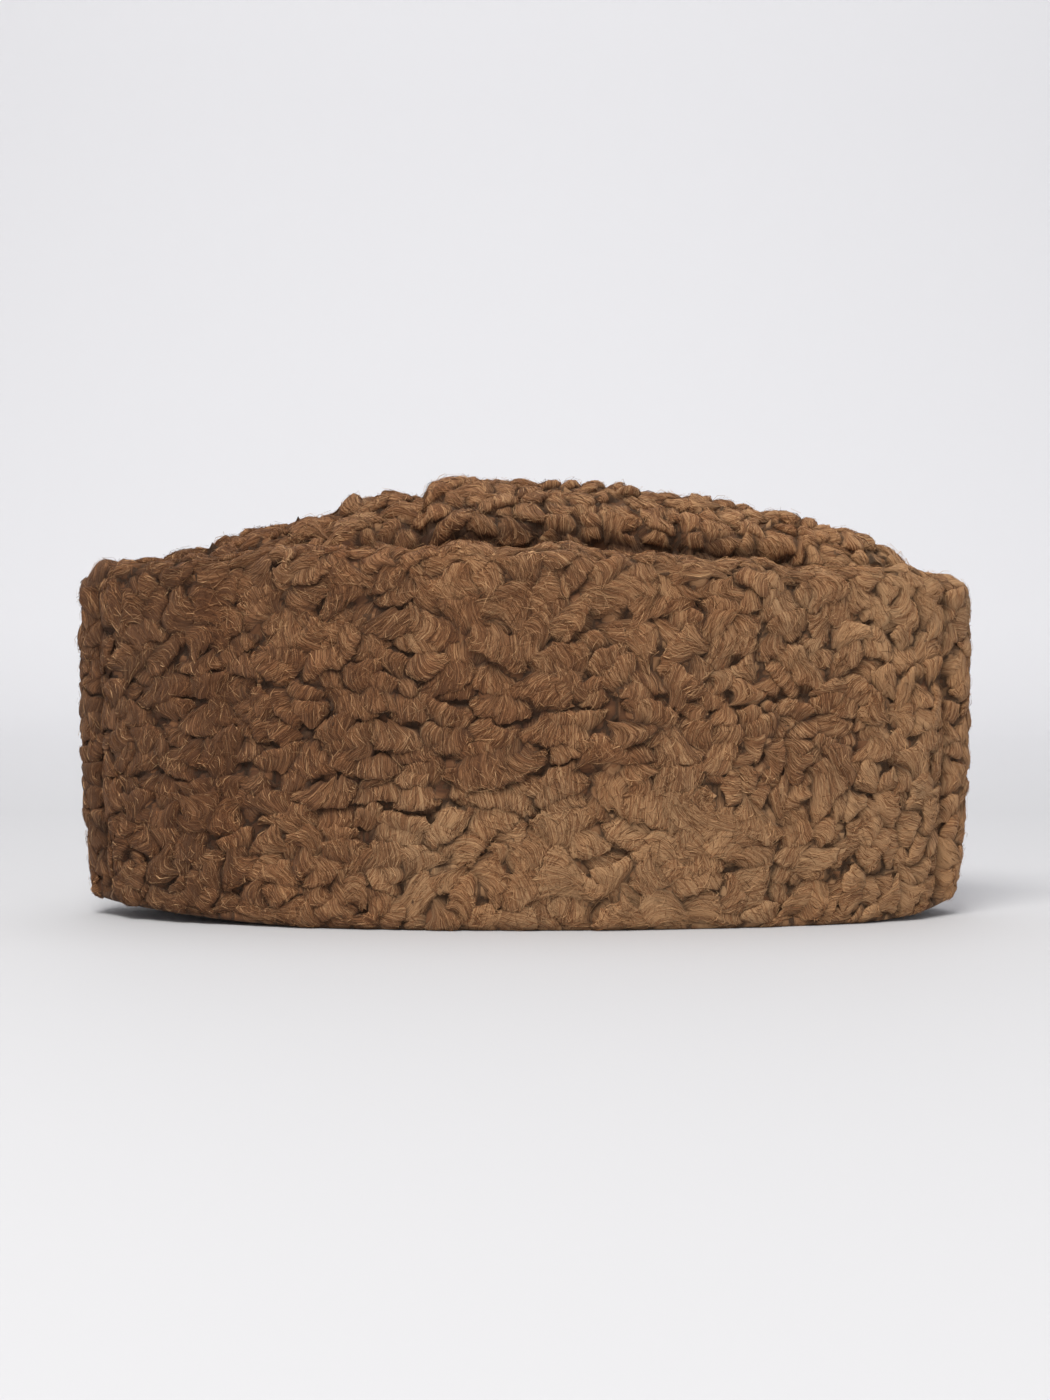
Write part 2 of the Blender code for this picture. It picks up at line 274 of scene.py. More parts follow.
def wobbled(s, t, how, way):
    # Flat places moved by way * wobble * soft noise, which bends the curls
    move, pitch = way * how["wobble"] * mm, how["wobblePitch"] * mm
    return s + move * softNoise(s, t, pitch, how["seed"]), t + move * softNoise(t, s, pitch, how["seed"] + 1)


def spreadOut(field, radius):
    # Mean over a square window of this radius in grid steps, twice, from differences of running sums
    for axis in (0, 1, 0, 1):
        padded = np.pad(field, [(radius + 1, radius) if a == axis else (0, 0) for a in (0, 1)], mode="edge")
        total = np.cumsum(padded, axis=axis)
        count = field.shape[axis]
        upper = np.take(total, np.arange(2 * radius + 1, 2 * radius + 1 + count), axis=axis)
        field = (upper - np.take(total, np.arange(count), axis=axis)) / (2 * radius + 1)
    return field


def sampleSheet(field, row, column):
    # A grid field read between its points, in straight lines
    i = np.clip(np.floor(row).astype(int), 0, field.shape[0] - 2)
    j = np.clip(np.floor(column).astype(int), 0, field.shape[1] - 2)
    f, g = row - i, column - j
    if field.ndim == 3:
        f, g = f[..., None], g[..., None]
    return (field[i, j] * (1 - f) + field[i + 1, j] * f) * (1 - g) + (
        field[i, j + 1] * (1 - f) + field[i + 1, j + 1] * f) * g


def gridPlace(sheet, s, t):
    # Row and column on the sheet's grid of flat places. rowAt holds the row for each column at every 0.25 mm of run.
    run, step = sheet["run"], 0.25 * mm
    if "rowAt" not in sheet:
        wanted, number = np.arange(run.min(), run.max() + step, step), np.arange(len(run))
        sheet["rowAt"] = np.stack([np.interp(wanted, column, number) for column in run.T], 1)
    columns = run.shape[1]
    column = np.clip((s - sheet["s"][0]) / (sheet["s"][1] - sheet["s"][0]), -0.8, columns - 0.2)
    across = np.clip((t - run.min()) / step, 0, len(sheet["rowAt"]) - 1)
    return sampleSheet(sheet["rowAt"], across, np.clip(column, 0, columns - 1)), column


# Section across a curl from its root to under its lip: sideways in half widths, height in curl heights
curlSection = np.array([
    (-2.00, -0.50), (-1.50, 0.05), (-1.00, 0.45), (-0.48, 0.76), (0.04, 0.95), (0.50, 1.02),
    (0.84, 0.82), (1.01, 0.25), (0.95, -0.50), (0.70, -1.10),
])


def curlPoints(sheet, curls, stamp, how, k, u, q):
    # Points of curl k at u from -1 to 1 along it and q rows down its section (a, b). On the flat map:
    # centre + u l e + sag (u^2 - 0.33) n + x N + (fan u l a / 2 - lean x - bow x^2 / 2w) T with x = lip w a narrow
    # (1 + waves along the curl), where narrow = sqrt(1 - u^4). The height is sit + h (b full - ends (1 - full)) + ribs
    # with full = 1 - |u|^endPower, and the point lies below the sheet by mean level + depth - height + sink.
    # The painted shade is (level nearby - height) / creaseReach, broken up by noise, + dark: darker in the hollows
    # between curls and under their lips.
    rows = np.arange(len(curlSection))
    a, b = np.interp(q, rows, curlSection[:, 0]), np.interp(q, rows, curlSection[:, 1])
    half, reach, lip = curls["half"][k], curls["reach"][k], curls["lip"][k]
    u = u * lip
    ahead = u * reach
    e, n, sag = curls["e"][k], curls["n"][k], curls["sag"][k]
    direction = unit(e * reach[..., None] + n * (2 * sag * u)[..., None])
    aside = np.stack([-direction[..., 1], direction[..., 0]], -1)
    wave = np.sin(ahead / (how["swellPitch"] * mm) + curls["phase"][0][k])
    scallop = np.sin(2 * np.pi * ahead / (how["ribPitch"] * mm) + curls["phase"][1][k])
    narrow = np.sqrt(np.maximum(1 - u**4, 0.004))
    x = lip * half * a * narrow * (1 + how["swell"] * wave + how["scallop"] * scallop * np.clip(a, 0, 1))
    shear = curls["fan"][k] * ahead * a / 2 - curls["lean"][k] * x - curls["bow"][k] * x**2 / (2 * half)
    flat = curls["centre"][k] + e * ahead[..., None] + n * (sag * (u**2 - 0.33))[..., None]
    flat = flat + aside * x[..., None] + direction * shear[..., None]
    s, t = wobbled(flat[..., 0], flat[..., 1], how, -1.0)
    full = 1 - np.abs(u) ** endPower
    height = curls["sit"][k] + curls["height"][k] * (b * full - how["ends"] * (1 - full))
    height = height + how["rib"] * mm * scallop * np.clip(b, 0, 1)
    row, column = gridPlace(sheet, s, t)
    mean, level, near, extra, dark = (sampleSheet(stamp[name], row, column)
                                      for name in ("mean", "level", "near", "sink", "dark"))
    points = sampleSheet(sheet["points"], row, column)
    down = mean + how["depth"] * mm - height + extra
    points = points - unit(sampleSheet(sheet["out"], row, column)) * down[..., None]
    points[..., 2] = np.maximum(points[..., 2], 0.0)
    # Painted shade in the hollows and under the lips, stronger and weaker in patches
    broken = how["creaseMean"] + how["creaseBreak"] * softNoise(s, t, how["breakPitch"] * mm, how["seed"] + 7)
    crease = (near - height) / (how["creaseReach"] * mm) * broken + dark
    shade = sampleSheet(stamp["shade"], row, column)
    return points, dict(crease=crease, shade=shade, over=height - level, ahead=ahead, row=row)


def growCurls(name, sheet, curls, stamp, how, material):
    # Every curl is a shell of section rows by steps along it, at u = sin(v pi/2 reach) / sin(pi/2 reach) for even v,
    # all joined to one mesh. Curls of one number of steps are worked out together.
    parts, faces, strands, tones, creases, first = [], [], [], [], [], 0
    rows, reach = how["curlRows"], how["stepReach"]
    steps = np.clip((2 * curls["reach"] / (how["curlStep"] * mm)).astype(int), 6, 40)
    steps = (steps + 1) // 4 * 4 + 2
    for count in np.unique(steps):
        k = np.flatnonzero(steps == count)
        u = np.sin(np.linspace(-1, 1, count) * np.pi / 2 * reach) / np.sin(np.pi / 2 * reach)
        q = np.linspace(0, len(curlSection) - 1, rows)
        k, q, u = np.broadcast_arrays(k[:, None, None], q[None, :, None], u[None, None])
        points, found = curlPoints(sheet, curls, stamp, how, k, u, q)
        number = first + np.arange(k.size).reshape(k.shape)
        first += k.size
        corners = number[:, :-1, :-1], number[:, :-1, 1:], number[:, 1:, 1:], number[:, 1:, :-1]
        faces.append(np.stack(corners, -1).reshape(-1, 4))
        parts.append(points.reshape(-1, 3))
        across = q * curls["half"][k] * how["rowWidth"] / mm
        strand = found["ahead"] / mm + patternShift * k, across, (k % patternKinds).astype(float)
        strands.append(np.stack(strand, -1).reshape(-1, 3))
        # Tone: the curl's own, that of its place (partly painted shade), and a constant painted shade for the hairs
        # over it
        tones.append((how["toneShare"] * curls["tone"][k] + found["shade"] + how["underHairShade"]).ravel())
        creases.append(found["crease"].ravel())
    attributes = dict(strand=np.concatenate(strands), tone=np.concatenate(tones), crease=np.concatenate(creases))
    faces = np.concatenate(faces)
    print(name, "triangles:", 2 * len(faces))
    return putMesh(name, np.concatenate(parts), faces.tolist(), [material], None, attributes)


def growHairs(name, sheet, curls, stamp, how, hairs, material):
    # Each hair is a tapering ribbon on one curl, from q - span to q + span down its section at a nearly fixed u, kept
    # where that place isn't under another curl. At v from -1 to 1 along it, it stands off the curl by lift * (1 - v^2),
    # and stray ones by more. Its half width is width / 2 * sqrt(1 - (end v)^2).
    rng = np.random.default_rng(how["seed"] + 20)
    stations, last = hairs["stations"], len(curlSection) - 1
    weight = curls["half"] * curls["reach"]
    k = rng.choice(len(weight), hairs["count"] * 4, p=weight / weight.sum())
    u = hairs["end"] * np.sin(rng.uniform(-1, 1, len(k)) * np.pi / 2)
    q = rng.uniform(*hairs["grown"], len(k)) * last
    found = curlPoints(sheet, curls, stamp, how, k, u, q)[1]
    wanted = np.interp(found["row"], hairs["bare"], (1.0, hairs["bareShare"]))
    seen = (found["over"] > -hairs["under"] * mm) & (rng.random(len(k)) < wanted)
    k, u, q = (a[seen][: hairs["count"]] for a in (k, u, q))
    count = len(k)
    stray = rng.random(count) < hairs["strayShare"] * (1 + hairs["mergeStray"] * curls["merge"][k])
    span = hairs["length"] * mm / curls["half"][k] * hairs["rowsPerHalf"] * rng.uniform(0.6, 1.3, count)
    twist = rng.normal(0, 1, count) * (hairs["tangle"] + hairs["mergeTangle"] * curls["merge"][k])
    twist = (twist + stray * rng.normal(0, 0.6, count)) * curls["half"][k] / curls["reach"][k]
    v = np.linspace(-1, 1, stations)[None]
    width = hairs["width"] * mm * rng.uniform(0.6, 1.3, count) * np.where(stray, 0.5, 1.0)
    reach = (width / 2 / curls["reach"][k])[:, None] * np.sqrt(np.maximum(1 - (hairs["end"] * v) ** 2, 0))
    qs = np.clip(q[:, None] + span[:, None] * v, 0.0, last)
    us = np.clip(u[:, None] + twist[:, None] * v, -hairs["end"], hairs["end"])
    ks = np.broadcast_to(k[:, None], qs.shape)
    left, found = curlPoints(sheet, curls, stamp, how, ks, us - reach, qs)
    right, _ = curlPoints(sheet, curls, stamp, how, ks, us + reach, qs)
    normal = unit(np.cross(right - left, np.gradient((left + right) / 2, axis=1)))
    lift = hairs["lift"] * mm * rng.uniform(0.1, 1.0, (count, 1)) * np.where(stray, hairs["strayLift"], 1.0)[:, None]
    rise = lift * (1 - v**2) + stray[:, None] * lift * smoothStep(0.2, 1, v) + 0.03 * mm
    tilt = rng.normal(0, hairs["roll"], (count, 1)) * width[:, None] / 2
    points = np.stack([left + normal * (rise + tilt)[..., None], right + normal * (rise - tilt)[..., None]], axis=2)
    points[..., 2] = np.maximum(points[..., 2], 0.0001)
    number = np.arange(points[..., 0].size).reshape(count, stations, 2)
    faces = np.stack([number[:, :-1, 0], number[:, :-1, 1], number[:, 1:, 1], number[:, 1:, 0]], -1)

    def spread(values):
        return np.broadcast_to(values, number.shape)

    tone = curls["tone"][k] * hairs["curlTone"] + rng.normal(hairs["toneMean"], hairs["toneSpread"], count)
    tone = tone[:, None] + found["shade"]
    strand = np.stack([spread(rng.uniform(0, 40, count)[:, None, None]), spread((v * 2.0)[..., None]),
                       spread((k % patternKinds)[:, None, None])], -1)
    # The hairs take the painted shade of the creases they lie in
    attributes = dict(strand=strand.reshape(-1, 3), tone=spread(tone[..., None]).ravel(),
                      crease=spread(found["crease"][..., None]).ravel())
    print(name, "hairs:", count, "triangles:", 2 * faces.size // 4)
    return putMesh(name, points, faces.reshape(-1, 4).tolist(), [material], None, attributes)


def setAttribute(mesh, name, values):
    # One number or one vector for each point
    kind = "FLOAT_VECTOR" if values.ndim == 2 else "FLOAT"
    attribute = mesh.attributes.new(name, kind, "POINT")
    attribute.data.foreach_set("vector" if values.ndim == 2 else "value", values.astype(np.float32).ravel())


def putMesh(name, points, faces, materials, finish=None, attributes=None):
    # Points in any grid shape and faces as lists of their numbers, with the attributes of the wool
    mesh = bpy.data.meshes.new(name)
    mesh.from_pydata(points.reshape(-1, 3), [], faces)
    for material in materials:
        mesh.materials.append(material)
    mesh.shade_smooth()
    if finish is not None:
        mesh.polygons.foreach_set("material_index", finish)
    for key, values in (attributes or {}).items():
        setAttribute(mesh, key, values)
    mesh.update()
    piece = bpy.data.objects.new(name, mesh)
    bpy.context.scene.collection.objects.link(piece)
    return piece


def closedBody(name, wool, lining, materials, attributes):
    # Rings of wool rows and lining rows, closed round the section, with a face over the first and last ring
    rings = np.concatenate([wool, lining])
    rows, columns = rings.shape[:2]
    number = np.arange(rows * columns).reshape(rows, columns)
    here, above = number, np.roll(number, -1, axis=0)
    quads = np.stack([here[:, :-1], here[:, 1:], above[:, 1:], above[:, :-1]], -1).reshape(-1, 4)
    faces = quads.tolist() + [number[:, 0].tolist(), number[::-1, -1].tolist()]
    finish = np.ones(len(faces), int)
    finish[: (len(wool) - 1) * (columns - 1)] = 0
    padded = {}
    for key, values in attributes.items():
        full = np.zeros((rows, columns) + values.shape[2:])
        full[: len(wool)] = values
        padded[key] = full.reshape((rows * columns,) + values.shape[2:])
    piece = putMesh(name, rings, faces, materials, finish, padded)
    piece.data.polygons[-1].use_smooth = piece.data.polygons[-2].use_smooth = False
    return piece


def addNode(tree, kind, spot, **values):
    # A node with its settings and its unlinked inputs
    node = tree.nodes.new(kind)
    node.location = spot
    for key, value in values.items():
        if hasattr(node, key):
            setattr(node, key, value)
        else:
            node.inputs[key.replace("_", " ")].default_value = value
    return node


def ramp(tree, spot, stops):
    # Colours by position, in straight lines between the stops
    node = tree.nodes.new("ShaderNodeValToRGB")
    node.location = spot
    band = node.color_ramp
    while len(band.elements) < len(stops):
        band.elements.new(0.5)
    for element, (position, colour) in zip(band.elements, stops):
        element.position = position
        element.color = (*colour, 1.0)
    return node


def newMaterial(name, **values):
    # A node material with these values on its shader
    material = bpy.data.materials.new(name)
    material.use_nodes = True
    shader = material.node_tree.nodes["Principled BSDF"]
    for key, value in values.items():
        shader.inputs[key.replace("_", " ")].default_value = value
    return material, material.node_tree, shader


wool = dict(
    # root: the colour of painted shade in creases, under lips and in the gaps between curls
    root=(0.030, 0.012, 0.006),      # in the creases
    dark=(0.108, 0.044, 0.018),
    middle=(0.266, 0.118, 0.049),
    light=(0.520, 0.305, 0.151),
    stops=(0.525, 0.65, 0.79),       # of dark, middle and light on the strand noise
    strandPitch=0.25,                # mm between strands in the pattern
    strandReach=7.0,                 # mm along a strand
    lockScale=(0.55, 0.09),          # the same for wider locks, as scales
    lockShare=0.30,
    kindStep=3.7,                    # between the patterns of two curls
    toneSpread=0.035,                # shift along the ramp for one step of tone
    # creaseDark: how strongly the painted shade darkens the deepest creases
    creaseDark=0.76,                 # how near to the root colour a deep crease comes
    patchSize=38.0,                  # scale of the warm and cool patches
    patchWarm=(1.03, 0.95, 0.88),
    patchCool=(0.98, 1.0, 1.02),
    sheen=0.12,
    sheenTint=(0.85, 0.66, 0.48),
    roughness=0.82,
    specular=0.25,
    bump=1.2,
)


def woolMaterial(name, how, bumpy=True):
    # Strands are noise stretched across each curl; its colour ramp is shifted by the curl's own tone and the tone of
    # its place (partly painted shade), by patches of the fleece, and darkened towards the root colour by painted shade
    # in the creases
    material, tree, shader = newMaterial(
        name, Roughness=how["roughness"], Specular_IOR_Level=how["specular"], Sheen_Weight=how["sheen"],
        Sheen_Roughness=0.45, Sheen_Tint=(*how["sheenTint"], 1.0))
    link = tree.links.new
    strand = addNode(tree, "ShaderNodeAttribute", (-1500, 200), attribute_name="strand")
    tone = addNode(tree, "ShaderNodeAttribute", (-1500, -100), attribute_name="tone")
    crease = addNode(tree, "ShaderNodeAttribute", (-1500, -300), attribute_name="crease")
    place3d = addNode(tree, "ShaderNodeTexCoord", (-1500, -550))
    scale = addNode(tree, "ShaderNodeVectorMath", (-1300, 300), operation="MULTIPLY")
    scale.inputs[1].default_value = (1 / how["strandPitch"], 1 / how["strandReach"], how["kindStep"])
    fine = addNode(tree, "ShaderNodeTexNoise", (-1100, 300), Scale=1.0, Detail=4.0, Roughness=0.75)
    coarseScale = addNode(tree, "ShaderNodeVectorMath", (-1300, 50), operation="MULTIPLY")
    coarseScale.inputs[1].default_value = (*how["lockScale"], how["kindStep"])
    coarse = addNode(tree, "ShaderNodeTexNoise", (-1100, 50), Scale=1.0, Detail=2.0, Roughness=0.5)
    patch = addNode(tree, "ShaderNodeTexNoise", (-1100, -550), Scale=how["patchSize"], Detail=3.0, Roughness=0.6)
    link(strand.outputs["Vector"], scale.inputs[0])
    link(strand.outputs["Vector"], coarseScale.inputs[0])
    link(scale.outputs[0], fine.inputs["Vector"])
    link(coarseScale.outputs[0], coarse.inputs["Vector"])
    link(place3d.outputs["Object"], patch.inputs["Vector"])
    mixed = addNode(tree, "ShaderNodeMath", (-850, 200), operation="MULTIPLY_ADD")
    link(coarse.outputs["Fac"], mixed.inputs[0])
    mixed.inputs[1].default_value = how["lockShare"]
    link(fine.outputs["Fac"], mixed.inputs[2])
    toned = addNode(tree, "ShaderNodeMath", (-700, 100), operation="MULTIPLY_ADD")
    toned.inputs[1].default_value = how["toneSpread"]
    link(tone.outputs["Fac"], toned.inputs[0])
    link(mixed.outputs[0], toned.inputs[2])
    colour = ramp(tree, (-500, 100), list(zip(how["stops"], (how["dark"], how["middle"], how["light"]))))
    link(toned.outputs[0], colour.inputs["Fac"])
    warm = ramp(tree, (-800, -550), [(0.30, how["patchWarm"]), (0.70, how["patchCool"])])
    link(patch.outputs["Fac"], warm.inputs["Fac"])
    tinted = addNode(tree, "ShaderNodeMix", (-250, 0), data_type="RGBA", blend_type="MULTIPLY")
    tinted.inputs[0].default_value = 1.0
    link(colour.outputs["Color"], tinted.inputs[6])
    link(warm.outputs["Color"], tinted.inputs[7])
    # Painted shade: the crease value mixes the colour towards the root colour in creases, under lips, between curls,
    # along seams and in the crown's fold
    sunk = ramp(tree, (-500, -300), [(0.0, (0, 0, 0)), (1.0, (how["creaseDark"],) * 3)])
    link(crease.outputs["Fac"], sunk.inputs["Fac"])
    deep = addNode(tree, "ShaderNodeMix", (-50, 0), data_type="RGBA")
    link(sunk.outputs["Color"], deep.inputs[0])
    link(tinted.outputs[2], deep.inputs[6])
    deep.inputs[7].default_value = (*how["root"], 1.0)
    link(deep.outputs[2], shader.inputs["Base Color"])
    if bumpy:
        bump = addNode(tree, "ShaderNodeBump", (-50, -300), Strength=how["bump"], Distance=0.0006)
        link(fine.outputs["Fac"], bump.inputs["Height"])
        link(bump.outputs["Normal"], shader.inputs["Normal"])
    return material


liningFinish = dict(dark=(0.16, 0.085, 0.045), light=(0.26, 0.155, 0.090), grain=900.0, roughness=0.85)


def liningMaterial(name, how):
    # Suede: fine noise for the nap, a slow one for its shade
    material, tree, shader = newMaterial(name, Roughness=how["roughness"], Sheen_Weight=0.2)
    link = tree.links.new
    place3d = addNode(tree, "ShaderNodeTexCoord", (-900, 0))
    nap = addNode(tree, "ShaderNodeTexNoise", (-700, 150), Scale=how["grain"], Detail=4.0, Roughness=0.7)
    shade = addNode(tree, "ShaderNodeTexNoise", (-700, -150), Scale=45.0, Detail=4.0, Roughness=0.6)
    both = addNode(tree, "ShaderNodeMath", (-500, 0), operation="MULTIPLY_ADD")
    both.inputs[1].default_value = 0.35
    colour = ramp(tree, (-300, 0), [(0.45, how["dark"]), (0.85, how["light"])])
    bump = addNode(tree, "ShaderNodeBump", (-300, -300), Strength=0.35, Distance=0.0003)
    for noise in (nap, shade):
        link(place3d.outputs["Object"], noise.inputs["Vector"])
    link(nap.outputs["Fac"], both.inputs[0])
    link(shade.outputs["Fac"], both.inputs[2])
    link(both.outputs[0], colour.inputs["Fac"])
    link(colour.outputs["Color"], shader.inputs["Base Color"])
    link(nap.outputs["Fac"], bump.inputs["Height"])
    link(bump.outputs["Normal"], shader.inputs["Normal"])
    return material


woolFinish = woolMaterial("karakulWool", wool)
hairFinish = woolMaterial("karakulHair", wool, bumpy=False)
suede = liningMaterial("suedeInside", liningFinish)
print("finishes made")

# Curls by place on a wall: x, z, lie in degrees from level, stray, length, width, height in mm, merge
wallZones = [
    (-134, 100, 20, 45, 9, 6.5, 2.4, 0.15),
    (-134, 60, 5, 40, 9, 6.0, 2.5, 0.10),
    (-134, 20, 30, 50, 8, 6.0, 2.4, 0.10),
    (-110, 110, 80, 40, 9, 7.0, 3.1, 0.15),
    (-108, 78, 15, 30, 14, 6.5, 2.5, 0.10),
    (-105, 55, -5, 25, 15, 6.5, 2.4, 0.15),
    (-105, 30, 20, 40, 10, 6.0, 2.2, 0.15),
    (-108, 10, 70, 30, 8, 6.0, 2.2, 0.15),
    (-80, 116, 80, 40, 9, 7.0, 3.1, 0.10),
    (-80, 100, 60, 50, 12, 6.5, 2.0, 0.30),
    (-78, 70, -40, 35, 13, 5.8, 2.6, 0.05),
    (-75, 45, 10, 20, 15, 5.6, 2.5, 0.05),
    (-75, 25, 5, 25, 12, 5.4, 2.4, 0.08),
    (-60, 10, 40, 50, 9, 6.0, 2.2, 0.15),
    (-45, 118, 80, 40, 9, 7.0, 3.1, 0.10),
    (-45, 110, 10, 40, 11, 6.8, 2.2, 0.20),
    (-45, 95, 30, 70, 12, 7.5, 1.7, 0.50),
    (-45, 72, -5, 20, 15, 5.6, 2.5, 0.08),
    (-40, 55, -2, 15, 17, 5.2, 2.6, 0.05),
    (-40, 35, 0, 20, 14, 5.6, 2.5, 0.08),
    (-25, 12, 30, 60, 11, 7.0, 2.1, 0.25),
    (0, 121, 80, 40, 9, 7.0, 3.1, 0.10),
    (0, 112, 0, 20, 14, 7.0, 2.2, 0.20),
    (0, 98, 40, 70, 13, 8.0, 1.7, 0.50),
    (0, 80, -10, 30, 16, 6.5, 2.3, 0.20),
    (0, 65, -12, 15, 20, 5.6, 2.6, 0.05),
    (5, 50, 5, 18, 19, 5.8, 2.6, 0.08),
    (5, 28, 10, 50, 13, 7.5, 2.2, 0.25),
    (5, 12, 50, 60, 11, 8.0, 2.0, 0.35),
    (35, 120, 80, 40, 9, 7.0, 3.1, 0.10),
    (35, 110, 8, 20, 16, 8.0, 2.6, 0.10),
    (35, 92, 70, 50, 12, 7.0, 2.2, 0.25),
    (38, 75, -15, 25, 17, 6.2, 2.5, 0.08),
    (40, 55, 0, 35, 15, 6.4, 2.5, 0.10),
    (40, 30, -10, 60, 13, 8.0, 2.1, 0.30),
    (40, 12, 60, 60, 11, 7.5, 2.0, 0.35),
    (70, 116, 80, 40, 9, 7.0, 3.1, 0.10),
    (70, 106, -15, 50, 11, 7.0, 2.3, 0.20),
    (70, 88, 30, 60, 9, 6.2, 2.3, 0.20),
    (68, 68, -25, 40, 9, 5.6, 2.5, 0.08),
    (76, 52, 85, 20, 11, 4.8, 2.5, 0.05),
    (72, 28, 0, 60, 11, 7.0, 2.2, 0.25),
    (90, 100, 0, 70, 9, 6.5, 2.0, 0.30),
    (95, 78, 20, 60, 8, 5.6, 2.3, 0.15),
    (97, 55, 10, 50, 8, 5.2, 2.3, 0.12),
    (98, 35, 70, 30, 10, 6.0, 2.3, 0.12),
    (105, 18, 85, 20, 13, 5.8, 2.4, 0.10),
    (122, 100, 40, 70, 9, 6.2, 2.1, 0.25),
    (122, 70, 30, 60, 8, 6.0, 2.4, 0.12),
    (120, 25, 80, 25, 13, 6.0, 2.4, 0.08),
    (136, 90, 10, 45, 8, 6.5, 2.6, 0.10),
    (136, 50, 10, 45, 7, 6.5, 2.6, 0.10),
    (136, 15, 60, 45, 9, 6.0, 2.4, 0.10),
]

# Soft upright folds of the near wall: x, depth, half width
nearFolds = [(-0.091, 0.0022, 0.011), (0.084, 0.0020, 0.011)]


def foldSink(x, folds):
    # Sum of depth * smooth step of (1 - |x - fold| / half width)
    return sum(depth * smoothStep(0, 1, 1 - np.abs(x - at) / half) for at, depth, half in folds) + 0 * x


def seamSink(s):
    # seam dip * (1 - distance / reach)^1.5 from each end of the sheet
    gap = np.minimum(s - s[0], s[-1] - s)
    return cap["seamDip"] * np.clip(1 - gap / cap["seamReach"], 0, 1) ** 1.5


# Tone of the fleece by place: x, z in mm, tone. Partly the fleece's own colour and partly painted shade: darkest
# towards the left end, where the wall turns away, lighter low down and towards the right.
toneAndShadeZones = [
    (-134, 60, -1.3), (-110, 85, -1.2), (-105, 55, -1.4), (-105, 25, -1.0), (-75, 95, -0.3), (-70, 55, -0.6),
    (-70, 20, 0.2), (-20, 100, 0.2), (-20, 62, -0.3), (-20, 25, 1.4), (40, 100, 0.5), (40, 62, 0.2),
    (40, 25, 1.6), (85, 95, 1.1), (85, 60, 0.4), (80, 20, 1.4), (120, 95, 2.0), (115, 55, 1.6), (115, 20, 1.9),
]


def dressWool(name, node, sheet, lining, zones, how, hairs, sink, dark=0.0):
    # One piece of the cap in wool: a closed body whose outer face is sunk under the curls, the curls and the hairs.
    # The body lies below the sheet by mean level + depth + baseDrop - level + sink, which fades out at its hems. Its
    # painted shade is (level nearby - level) / creaseReach, at least 0, + baseDark + dark: darker in its hollows and
    # between the curls.
    curls = layCurls(sheet, zones, how)
    stamp = stampCurls(sheet, curls, how)
    x, z = sheet["points"][..., 0], sheet["points"][..., 2]
    # Tone by place, partly painted shade, plus random patches of the fleece's own tone
    shade = blendZones(toneAndShadeZones, x.ravel(), z.ravel())[:, 0].reshape(x.shape)
    patches = softNoise(x, z, how["patchPitch"] * mm, how["seed"] + 5)
    stamp["shade"] = how["shade"] * shade + how["patch"] * patches
    stamp["mean"] = spreadOut(stamp["level"], round(how["meanReach"] / how["spacing"]))
    stamp["near"] = spreadOut(stamp["level"], round(how["nearReach"] / how["spacing"]))
    row = np.arange(len(x))[:, None]
    hem = smoothStep(0, how["hemRows"], row) * smoothStep(0, how["hemRows"], len(x) - 1 - row)
    stamp["sink"], stamp["dark"] = np.broadcast_to(sink, x.shape), np.broadcast_to(dark, x.shape)
    down = (stamp["mean"] + (how["depth"] + how["baseDrop"]) * mm - stamp["level"] + sink) * hem
    points = sheet["points"] - sheet["out"] * down[..., None]
    points[..., 2] = np.maximum(points[..., 2], 0.0)
    # Painted shade of the body: darker in its hollows, and by baseDark all over where it shows between the curls
    owner, below = stamp["owner"], np.maximum(stamp["near"] - stamp["level"], 0)
    attributes = dict(
        strand=np.stack([stamp["along"] / mm + patternShift * owner, stamp["across"] / mm,
                         (owner % patternKinds).astype(float)], -1),
        # Tone as on the curls, with the same painted shade under the hairs
        tone=how["toneShare"] * curls["tone"][owner] + stamp["shade"] + how["underHairShade"],
        crease=below / (how["creaseReach"] * mm) + how["baseDark"] + stamp["dark"],
    )
    body = closedBody(name, points, lining, [woolFinish, suede], attributes)
    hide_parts(node)
    pieces = [body, growCurls(name + "_curls", sheet, curls, stamp, how, woolFinish),
              growHairs(name + "_hairs", sheet, curls, stamp, how, hairs, hairFinish)]
    for piece in pieces:
        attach(piece, "root")
    print(name, "curls:", len(curls["half"]), "body faces:", len(body.data.polygons))


def wallPanel(name, node, start, end, folds, how, hairs):
    # A wall between two angles round the plan, sunk at its seams and folds and made uneven by noise, with painted shade
    # along its seams. Its top edge is raised by edgeHigh * noise + the sum of high * exp(-((x - at) / half)^2) over its
    # corners.
    theta, s = evenAngles(start, end, how["spacing"] * mm)
    sheet = wallSheet(theta, s, how["rows"])
    x = sheet["points"][..., 0]
    sink = how["uneven"] * mm * softNoise(x, sheet["run"], 16 * mm, how["seed"] + 9)
    lining = wallLining(theta, how["rows"]["lining"])
    overTop = (sheet["run"] - readTable(topEdge, 1, x) - 4 * mm) / (7 * mm)
    raised = how["edgeHigh"] * softNoise(x, 0 * x, how["edgePitch"] * mm, how["seed"] + 3)
    raised = raised + sum(high * np.exp(-(((x / mm - at) / half) ** 2)) for at, high, half in how["corners"])
    sink = sink - raised * mm * np.exp(-overTop**2)
    # Painted shade along the two seams, fading over seamHalf from each end
    gap = np.minimum(s - s[0], s[-1] - s) / (how["seamHalf"] * mm)
    dark = how["seamShade"] * np.exp(-gap**2)[None]
    sink = seamSink(s)[None] + foldSink(x, folds) + sink
    dressWool(name, node, sheet, lining, wallZones, how, hairs, sink, dark)


